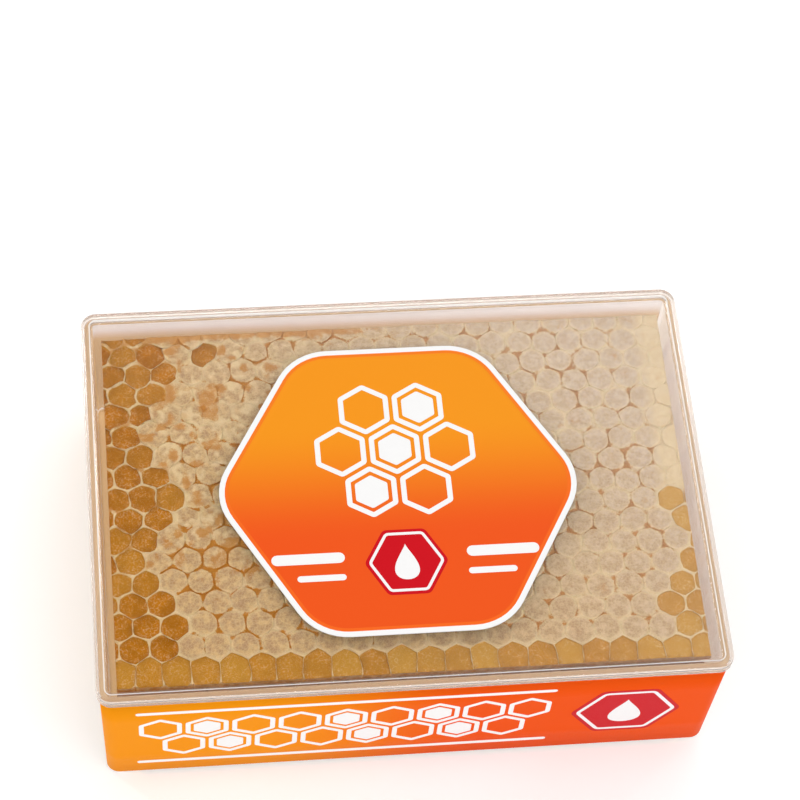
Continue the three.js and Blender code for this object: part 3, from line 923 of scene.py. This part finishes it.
def trimmed(thing, level):
    """Cuts a sheet along the slab's four sides, then closes it with upright sides and a flat back.

    Each edge that has one face gets a quad down to its shadow at the given level, and a triangle
    from there to one point in the middle of the back. Both run against their neighbours' turn.
    The sides grow wet with honey towards their foot; there the full amber is also painted glow,
    standing in for light through the honey on sides that lie in shade.
    """
    mesh = thing.data
    work = bmesh.new()
    work.from_mesh(mesh)
    for axis, (low, high) in enumerate(zip(COMB_LOW[:2], COMB_HIGH[:2])):
        for place, way in ((low, -1), (high, 1)):
            point, normal = np.zeros(3), np.zeros(3)
            point[axis], normal[axis] = place, way
            bmesh.ops.bisect_plane(
                work, geom=work.verts[:] + work.edges[:] + work.faces[:], dist=1e-7,
                plane_co=point, plane_no=normal, clear_outer=True)
    work.to_mesh(mesh)
    work.free()
    corner, edge = read(mesh.loops, "vertex_index"), read(mesh.loops, "edge_index")
    ends = read(mesh.edges, "vertices", 2)
    points = read(mesh.vertices, "co", 3, np.float32)
    outer = np.bincount(edge, minlength=len(ends))[edge] == 1
    first = corner[outer]
    second = ends[edge[outer]].sum(1) - first
    order = np.argsort(first)
    foot = len(points) + np.arange(len(first))
    next_foot = foot[order[np.searchsorted(first[order], second)]]
    middle = np.full(len(first), len(points) + len(first))
    quads = np.stack([second, first, foot, next_foot], 1)
    fans = np.stack([next_foot, foot, middle], 1)
    shadow = points[first]
    shadow[:, 2] = level
    points = np.concatenate([points, shadow, shadow.mean(0)[None]])
    values = {}
    for layer in mesh.attributes:
        if layer.data_type == "FLOAT" and layer.domain == "POINT":
            data = read(layer.data, "value", 1, np.float32)
            # Honey wets the foot of the sides; its amber there is partly painted glow.
            below = np.ones_like(data[first]) if layer.name == "wet" else data[first]
            values[layer.name] = np.concatenate([data, below, data[:1] * 0])
    top = len(mesh.polygons)
    sizes = np.concatenate([
        read(mesh.polygons, "loop_total"), np.full(len(quads), 4), np.full(len(fans), 3)])
    slots = np.concatenate([
        read(mesh.polygons, "material_index"), np.zeros(len(sizes) - top, np.int32)])
    corner = np.concatenate([corner, quads.ravel(), fans.ravel()])
    mesh.clear_geometry()
    fill_mesh(mesh, points, corner, sizes, slots, np.arange(len(sizes)) < top, values)
    if mesh.validate():
        raise RuntimeError(f"{thing.name} could not be closed")


def lower_shift(settings):
    """How far the lower face's cells stand behind the upper ones: their middles meet corners."""
    return settings.row_pitch * 2 / 3


class CombTopOperator(bpy.types.Operator):
    """Makes the comb's upper face: capped cells, and open cells that hold honey"""

    bl_idname = "comb_honey.comb_top"
    bl_label = "Comb top"

    def execute(self, context):
        settings = context.scene.comb_slab
        points, faces, slots, values = cell_sheet(settings, 0.0, 4, open_cells)
        materials = [wax(settings), honey(settings)]
        points[:, 2] += COMB_HIGH[2] - CAP_ROOM
        thing = add_mesh("comb_top", points, faces, materials, slots, values)
        trimmed(thing, COMB_HIGH[2] - COVER_THICKNESS)
        settle(thing, "comb")
        return {"FINISHED"}


class CombUndersideOperator(bpy.types.Operator):
    """Makes the comb's lower face: low caps that rest on the tub's floor"""

    bl_idname = "comb_honey.comb_underside"
    bl_label = "Comb underside"

    def execute(self, context):
        settings = context.scene.comb_slab
        points, faces, slots, values = cell_sheet(
            settings, lower_shift(settings), 2, lambda x, y: np.zeros(len(x), bool))
        materials = [bpy.data.materials["wax"], bpy.data.materials["honey"]]
        points[:, 2] = COMB_LOW[2] + FOOT_ROOM - points[:, 2]
        faces = [block[:, ::-1] for block in faces]
        thing = add_mesh("comb_underside", points, faces, materials, slots, values)
        trimmed(thing, COMB_LOW[2] + COVER_THICKNESS)
        settle(thing, "comb")
        return {"FINISHED"}


def cut_depth(settings, x, y, normal_x, normal_y, shift):
    """How far the hollow of a cut cell reaches in from points on the slab's sides.

    The nearest cell's six sides are half planes a little inside its outline; a point within them
    all lies in the hollow, and the way in along the normal ends at the first of them.
    """
    row = np.round((y - FIRST_CELL[1] - shift) / settings.row_pitch)
    best = np.zeros_like(x)
    half = settings.cell_pitch / 2
    wall = 0.3 * MM
    for row_step in (-1, 0, 1):
        this_row = row + row_step
        offset = np.abs(this_row) % 2 / 2
        column = np.round((x - FIRST_CELL[0]) / settings.cell_pitch - offset) + offset
        for column_step in (-1, 0, 1):
            at_x, at_y = lattice_point(settings, column + column_step, this_row, shift)
            reach = np.full_like(x, 1.0)
            for k in range(6):
                angle = k * math.pi / 3
                side_x, side_y = math.cos(angle), math.sin(angle)
                room = half - wall - (x - at_x) * side_x - (y - at_y) * side_y
                facing = normal_x * side_x + normal_y * side_y
                ahead = np.where(facing > 1e-3, room / np.maximum(facing, 1e-3), 1.0)
                reach = np.minimum(reach, np.where(room > 0, ahead, 0.0))
            best = np.maximum(best, reach)
    return best


def slab_outline():
    """Points round the slab's four sides with the way in from each, as rows x, y, in_x, in_y."""
    (left, front), (right, back) = COMB_LOW[:2], COMB_HIGH[:2]
    corners = np.array([(right, front), (right, back), (left, back), (left, front)])
    sides = []
    for start, end in zip(corners, np.roll(corners, -1, 0)):
        way = np.sign(end - start)
        number = round(np.abs(end - start).sum() / SIDE_STEP)
        t = (np.arange(number) / number)[:, None]
        inwards = np.tile((-way[1], way[0]), (number, 1))
        sides.append(np.column_stack([start * (1 - t) + end * t, inwards]))
    return np.concatenate(sides)


def side_heights(foot, head):
    """Heights of the cut sides' rings, closest at either end and round the middle wall."""
    return np.concatenate([
        np.linspace(foot, foot + SIDE_FADE, 3),
        np.linspace(foot + 2 * SIDE_FADE, MIDDLE_WALL_Z - 3 * RIB, 10),
        MIDDLE_WALL_Z + RIB * np.array([-1.6, -0.7, 0, 0.7, 1.6]),
        np.linspace(MIDDLE_WALL_Z + 3 * RIB, head - 2 * SIDE_FADE, 10),
        np.linspace(head - SIDE_FADE, head, 3),
    ])


class CombSideOperator(bpy.types.Operator):
    """Makes the comb's cut sides: cells cut open above and below the middle wall"""

    bl_idname = "comb_honey.comb_side"
    bl_label = "Comb sides"

    def execute(self, context):
        settings = context.scene.comb_slab
        x, y, in_x, in_y = slab_outline().T
        foot = COMB_LOW[2] + COVER_THICKNESS - SIDE_OVERLAP
        head = COMB_HIGH[2] - COVER_THICKNESS + SIDE_OVERLAP
        height = side_heights(foot, head)[:, None]
        upper = cut_depth(settings, x, y, in_x, in_y, 0.0)
        lower = cut_depth(settings, x, y, in_x, in_y, lower_shift(settings))
        depth = np.where(height > MIDDLE_WALL_Z, upper, lower)
        most = (1.1 + 0.35 * noise(x, y, 7 * MM, 31)) * MM
        depth = np.minimum(depth, most + 0.2 * MM * noise(x + height, y - height, 3 * MM, 32))
        closed = smooth_step(RIB * 0.5, RIB * 1.6, np.abs(height - MIDDLE_WALL_Z))
        closed = closed * smooth_step(0, SIDE_FADE, height - foot)
        closed = closed * smooth_step(0, SIDE_FADE, head - height)
        depth = np.clip(depth, 0, None) * closed
        wobble = 0.06 * MM * (1 + noise(x + 3 * height, y + 2 * height, 1.2 * MM, 33))
        inset = depth + wobble
        rings = np.stack([
            x + in_x * inset, y + in_y * inset, np.broadcast_to(height, inset.shape)], -1)
        points, faces = lofted(rings)
        dry = 1 - smooth_step(0.05 * MM, 0.3 * MM, depth)
        looks = (("rim", dry), ("crevice", 1.15 * (1 - dry)), ("wet", np.full(dry.shape, 0.9)))
        values = {key: np.concatenate([data.ravel(), [0, 0]]) for key, data in looks}
        thing = add_mesh("comb_sides", points, faces, [bpy.data.materials["wax"]], None, values)
        settle(thing, "comb")
        return {"FINISHED"}


# Labels.

LABEL_BACK, LABEL_FACE = 0.02 * MM, 0.17 * MM
PRINT_BODY = 0.03 * MM
PLAQUE_ROUNDING = 12 * MM


def hexagon_outline(radius, rounding, inset, steps=8, turn=0.0):
    """A hexagon with round corners: a smaller hexagon grown by a circle, drawn in by the inset."""
    grown = max(rounding - inset, 0.15 * MM)
    reach = radius - rounding / math.cos(math.pi / 6)
    if rounding - inset < grown:
        reach -= (grown - rounding + inset) / math.cos(math.pi / 6)
    corner = np.repeat(np.arange(6) * math.pi / 3 + turn, steps + 1)
    angle = corner + np.tile(np.linspace(-math.pi / 6, math.pi / 6, steps + 1), 6)
    return np.stack([
        reach * np.cos(corner) + grown * np.cos(angle),
        reach * np.sin(corner) + grown * np.sin(angle)], 1)


class LidLabelOperator(bpy.types.Operator):
    """Makes the lid label: a hexagonal film with a white border round a run of orange"""

    bl_idname = "comb_honey.lid_label"
    bl_label = "Lid label"

    def execute(self, context):
        settings = context.scene.comb_labels
        radius = PLAQUE_HIGH[1] / math.cos(math.pi / 6)
        low, high = PLAQUE_LOW[2], PLAQUE_HIGH[2]
        insets = np.array([0.0, 0.0, 0.03, 0.1, 0.5, 1.1, 1.2, 1.8, 2.4, 8.0, 20.0]) * MM
        heights = np.array([low, high - 0.04 * MM, high - 0.01 * MM] + [high] * (len(insets) - 3))
        outlines = [hexagon_outline(radius, PLAQUE_ROUNDING, inset) for inset in insets]
        rings = np.array([
            np.column_stack([outline, np.full(len(outline), z)])
            for outline, z in zip(outlines, heights)
        ])
        points, faces = lofted(rings)
        edge = np.concatenate([np.repeat(insets, rings.shape[1]), [0.0, 30 * MM]])
        material = colour_run(
            "lid_label_print", settings, "Y", 16 * MM, -12 * MM, 0.15, settings.border)
        thing = add_mesh("lid_label_film", points, faces, [material], None, {"edge": edge})
        settle(thing, "lid_label")
        return {"FINISHED"}


def front_path(outwards, z, steps=6):
    """The line of the tub's front wall at heights z, round both corners, as (heights, points, 3)."""
    box = bpy.context.scene.comb_box
    lean = tub_lean(z)[:, None]
    wrap = np.linspace(math.radians(72), 0, steps + 1)
    angle = np.concatenate([-wrap, wrap[::-1]])
    side = np.repeat([-1, 1], steps + 1)
    reach = box.tub_corner + outwards
    x = side * (TUB_HIGH[0] - lean - box.tub_corner) + reach * np.sin(angle)
    y = -(TUB_HIGH[1] - lean - box.tub_corner) - reach * np.cos(angle)
    return np.stack([x, y, np.broadcast_to(z[:, None], x.shape)], -1)


class FrontLabelOperator(bpy.types.Operator):
    """Makes the front label: a film round the tub's front wall with a run of orange"""

    bl_idname = "comb_honey.front_label"
    bl_label = "Front label"

    def execute(self, context):
        settings = context.scene.comb_labels
        z = np.linspace(FRONT_LOW[2], FRONT_HIGH[2], 5)
        outer, inner = front_path(LABEL_FACE, z), front_path(LABEL_BACK, z)
        sections = np.concatenate([inner, outer[::-1]]).transpose(1, 0, 2)
        points, faces = lofted(sections)
        material = colour_run("front_label_print", settings, "X", -36 * MM, 15 * MM, 0.015)
        thing = add_mesh("front_label_film", points, faces, [material])
        settle(thing, "front_label")
        return {"FINISHED"}


def prism(outer, hole=None):
    """A flat printed shape with a little body: an outline, or the strip between two outlines."""
    count = len(outer)
    low, high = np.zeros((count, 1)), np.full((count, 1), PRINT_BODY)
    if hole is None:
        rings = np.array([np.hstack([outer, low]), np.hstack([outer, high])])
        return lofted(rings)
    rings = np.concatenate([
        np.hstack([hole, low]), np.hstack([outer, low]),
        np.hstack([outer, high]), np.hstack([hole, high])])
    faces = grid_faces(4, count)
    last = 3 * count + np.arange(count)
    after = np.roll(last, -1)
    close = np.stack([last, after, after - 3 * count, last - 3 * count], 1)
    return rings, [np.concatenate([faces, close]), np.zeros((0, 3), int)]


def gathered(shapes):
    """Several point and face sets joined into one."""
    points, quads, fans, total = [], [], [], 0
    for these, (four, three) in shapes:
        points.append(these)
        quads.append(four + total)
        fans.append(three + total)
        total += len(these)
    return np.concatenate(points), [np.concatenate(quads), np.concatenate(fans)]


def bar_shape(length, width, x, y, steps=8):
    """A bar with round ends: two half circles joined by straight sides."""
    half = np.linspace(-math.pi / 2, math.pi / 2, steps + 1)
    angle = np.concatenate([half, half + math.pi])
    middle = np.repeat([1, -1], steps + 1) * (length - width) / 2
    return prism(np.stack([
        middle + width / 2 * np.cos(angle) + x, width / 2 * np.sin(angle) + y], 1))


def drop_shape(height, x, y, steps=40):
    """A honey drop: a circle whose upper part is drawn up to a point, by a power of the sine."""
    angle = np.linspace(0, 2 * math.pi, steps, endpoint=False) + math.pi / 2
    width = 0.36 * height
    pinch = np.sin((angle - math.pi / 2) / 2) ** 1.6
    return prism(np.stack([
        width * np.cos(angle) * pinch * 1.25 + x, 0.5 * height * np.sin(angle) + y], 1))


def hexagon_shape(radius, x, y, turn=0.0, line=None):
    """A hexagon with slightly round corners, or a hexagonal ring of the given line width."""
    outlines = [hexagon_outline(radius, 0.16 * radius, inset, 4, turn) + np.array([x, y])
                for inset in ([0] if line is None else [0, line])]
    return prism(*outlines)


def badge_shapes(radius, x, y):
    """A badge's red body, and on it a white hexagonal line and a drop."""
    line = hexagon_shape(radius - 0.09 * radius, x, y, line=0.07 * radius)
    return [hexagon_shape(radius, x, y)], [line, drop_shape(0.95 * radius, x, y)]


def add_prints(prefix, node, white, badge, place):
    """Lays white shapes and a red badge on a label, the badge's own white shapes on its red.

    Place is a function from points in the label's plan and a lift to points in space.
    """
    red, on_red = badge
    red_ink = bpy.context.scene.comb_labels.badge_red
    for part, shapes, tone_name, ink, lift in (
            ("white", white, "print_white", WHITE_INK, 0.0),
            ("red", red, "print_red", red_ink, 0.0),
            ("badge", on_red, "print_white", WHITE_INK, PRINT_BODY)):
        points, faces = gathered(shapes)
        material = bpy.data.materials.get(tone_name) or plain_print(tone_name, ink)
        thing = add_mesh(f"{prefix}_{part}", place(points, lift), faces, [material], smooth=False)
        settle(thing, node)


class LidPrintOperator(bpy.types.Operator):
    """Makes the lid label's print: a cluster of white cells above a red badge between two bars"""

    bl_idname = "comb_honey.lid_print"
    bl_label = "Lid print"

    def execute(self, context):
        def on_lid(points, lift):
            return points + np.array([0, 0, PLAQUE_HIGH[2] + lift])

        pitch, turn = 11.4 * MM, math.pi / 6
        steps = [(0, 0)] + [(math.cos(k * math.pi / 3), math.sin(k * math.pi / 3)) for k in range(6)]
        cluster = [(pitch * a, pitch * b + 9 * MM) for a, b in steps]
        white = [hexagon_shape(6.1 * MM, x, y, turn, 1.1 * MM) for x, y in cluster]
        white += [hexagon_shape(3.9 * MM, *cluster[k], turn) for k in (0, 2, 5)]
        white += [bar_shape(15 * MM, 2.4 * MM, side * 20 * MM, -15.8 * MM) for side in (-1, 1)]
        white += [bar_shape(10 * MM, 1.4 * MM, side * 17.5 * MM, -20.3 * MM) for side in (-1, 1)]
        badge = badge_shapes(8.6 * MM, 0.0, -17.5 * MM)
        add_prints("lid_print", "lid_label", white, badge, on_lid)
        return {"FINISHED"}


class FrontPrintOperator(bpy.types.Operator):
    """Makes the front label's print: two rows of white cells between two rules, and a red badge"""

    bl_idname = "comb_honey.front_print"
    bl_label = "Front print"

    def execute(self, context):
        middle = (FRONT_LOW[2] + FRONT_HIGH[2]) / 2

        def on_front(points, lift):
            height = points[:, 1] + middle
            wall = -(TUB_HIGH[1] - tub_lean(height)) - LABEL_FACE
            return np.stack([points[:, 0], wall - points[:, 2] - lift, height], 1)

        pitch, turn = 9.4 * MM, math.pi / 6
        places = [(-51.5 * MM + k * pitch, 4.1 * MM) for k in range(9)]
        places += [(x + pitch / 2, -4.1 * MM) for x, y in places[:8]]
        white = [hexagon_shape(5.0 * MM, x, y, turn, 1.0 * MM) for x, y in places]
        white += [hexagon_shape(3.1 * MM, *places[k], turn) for k in (1, 4, 6, 10, 13, 15)]
        white += [bar_shape(85 * MM, 1.2 * MM, -13.9 * MM, side * 12 * MM) for side in (-1, 1)]
        badge = badge_shapes(11.5 * MM, 44 * MM, 0.0)
        add_prints("front_print", "front_label", white, badge, on_front)
        return {"FINISHED"}


# Stage.

# Ways to what the lid mirrors, the floor's rings, and the point that the lamps face.
OPENING = (-0.12, 0.33, 0.936)
OPENING_TONE = (0.40, 0.22, 0.06)
WINDOW = (0.25, 0.69, 0.68)
WINDOW_GAIN = 2.2
FLOOR_RADII, FLOOR_SIDES = (3.0, 1.0, 0.3), 48
LAMP_AIM = (0, 0, 0.03)


def add_lamp(name, place, size, power):
    """A white rectangular lamp that faces the box."""
    lamp = bpy.data.lights.new(name, "AREA")
    lamp.shape = "RECTANGLE"
    lamp.size, lamp.size_y = size
    lamp.energy = power
    thing = bpy.data.objects.new(name, lamp)
    thing.location = place
    way = Vector(LAMP_AIM) - Vector(place)
    thing.rotation_euler = way.to_track_quat("-Z", "Y").to_euler()
    bpy.context.scene.collection.objects.link(thing)


def floor_material():
    """Matt pale paper with a faint tooth."""
    material, tree, output = new_material("floor_paper")
    tooth = mottling(tree, 30.0, 900.0)
    base = mix(tree, times(tree, tooth["Blotches"], 0.03), colour((0.95, 0.95, 0.95)),
               colour((0.92, 0.92, 0.92)))
    principled(tree, output, {
        "Base Color": base, "Roughness": 0.9, "Specular IOR Level": 0.1,
        "Emission Color": (1.0, 1.0, 1.0, 1.0), "Emission Strength": 0.22})
    return material


def studio_world(strength):
    """An even white studio with what the lid mirrors: a dim opening, and a window behind it."""
    world = bpy.data.worlds.new("studio")
    world.use_nodes = True
    tree = world.node_tree
    tree.nodes.clear()
    way = add_node(tree, "TexCoord").outputs["Generated"]
    near = [
        add_node(tree, "VectorMath", {0: way, 1: centre}, operation="DOT_PRODUCT").outputs["Value"]
        for centre in (OPENING, WINDOW)
    ]
    inner, outer = math.cos(math.radians(9)), math.cos(math.radians(20))
    shade = mix(tree, remap(tree, near[0], outer, inner), (1, 1, 1, 1), colour(OPENING_TONE))
    bright = remap(tree, near[1], outer, inner, strength, WINDOW_GAIN * strength)
    light = add_node(tree, "Background", {"Color": shade, "Strength": bright})
    output = tree.nodes.new("ShaderNodeOutputWorld")
    tree.links.new(light.outputs[0], output.inputs["Surface"])
    bpy.context.scene.world = world


def add_camera(settings):
    """The photograph's view: turned, tipped down, rolled, and drawn back from its target."""
    camera = bpy.data.cameras.new("camera")
    camera.lens = settings.lens
    camera.sensor_width = 36.0
    camera.clip_start = 0.05
    camera.clip_end = 20.0
    thing = bpy.data.objects.new("camera", camera)
    turn = Matrix.Rotation(-settings.azimuth, 4, "Z")
    tip = Matrix.Rotation(math.pi / 2 - settings.elevation, 4, "X")
    roll = Matrix.Rotation(settings.roll, 4, "Z")
    back = Matrix.Translation((0, 0, settings.distance))
    thing.matrix_world = Matrix.Translation(settings.target) @ turn @ tip @ roll @ back
    bpy.context.scene.collection.objects.link(thing)
    bpy.context.scene.camera = thing


class StageOperator(bpy.types.Operator):
    """Sets the pale floor, the soft studio light and the camera"""

    bl_idname = "comb_honey.stage"
    bl_label = "Stage"

    def execute(self, context):
        settings = context.scene.comb_stage
        angle = np.linspace(0, 2 * math.pi, FLOOR_SIDES, endpoint=False)
        rings = [
            np.stack([radius * np.cos(angle), radius * np.sin(angle), 0 * angle], 1)
            for radius in FLOOR_RADII
        ]
        points = np.concatenate(rings + [np.zeros((1, 3))])
        middle = len(points) - 1
        last = middle - FLOOR_SIDES + np.arange(FLOOR_SIDES)
        faces = [grid_faces(len(rings), FLOOR_SIDES), cap_faces(np.append(middle, last), False)]
        floor = add_mesh("floor", points, faces, [floor_material()])
        studio_world(settings.ambient)
        add_lamp("left_strip", (-0.76, 0.56, 0.60), (0.05, 0.6), 1.5)
        add_lamp("right_strip", (0.83, 0.54, 0.40), (0.05, 0.6), 0.75)
        add_lamp("front_strip", (0.1, -0.5, 0.9), (0.8, 0.06), 1.6)
        add_camera(settings)
        context.scene.view_settings.view_transform = "Standard"
        return {"FINISHED"}


class CombHoneyPanel(bpy.types.Panel):
    """Lists the pieces of the box of comb honey"""

    bl_idname = "VIEW3D_PT_comb_honey"
    bl_label = "Comb honey"
    bl_space_type = "VIEW_3D"
    bl_region_type = "UI"
    bl_category = "Comb honey"

    def draw(self, context):
        for name, group in SETTINGS.items():
            column = self.layout.column(align=True)
            for key in group.__annotations__:
                column.prop(getattr(context.scene, name), key)
        for operator in OPERATORS:
            self.layout.operator(operator.bl_idname)


OPERATORS = (
    StageOperator,
    TubOperator,
    LidOperator,
    CombTopOperator,
    CombUndersideOperator,
    CombSideOperator,
    LidLabelOperator,
    FrontLabelOperator,
    LidPrintOperator,
    FrontPrintOperator,
)


def register():
    for group in SETTINGS.values():
        bpy.utils.register_class(group)
    for name, group in SETTINGS.items():
        setattr(bpy.types.Scene, name, PointerProperty(type=group))
    for operator in OPERATORS:
        bpy.utils.register_class(operator)
    bpy.utils.register_class(CombHoneyPanel)


def unregister():
    bpy.utils.unregister_class(CombHoneyPanel)
    for operator in reversed(OPERATORS):
        bpy.utils.unregister_class(operator)
    for name in SETTINGS:
        delattr(bpy.types.Scene, name)
    for group in SETTINGS.values():
        bpy.utils.unregister_class(group)


def main():
    register()
    for operator in OPERATORS:
        family, name = operator.bl_idname.split(".")
        getattr(getattr(bpy.ops, family), name)()


if __name__ == "__main__":
    main()
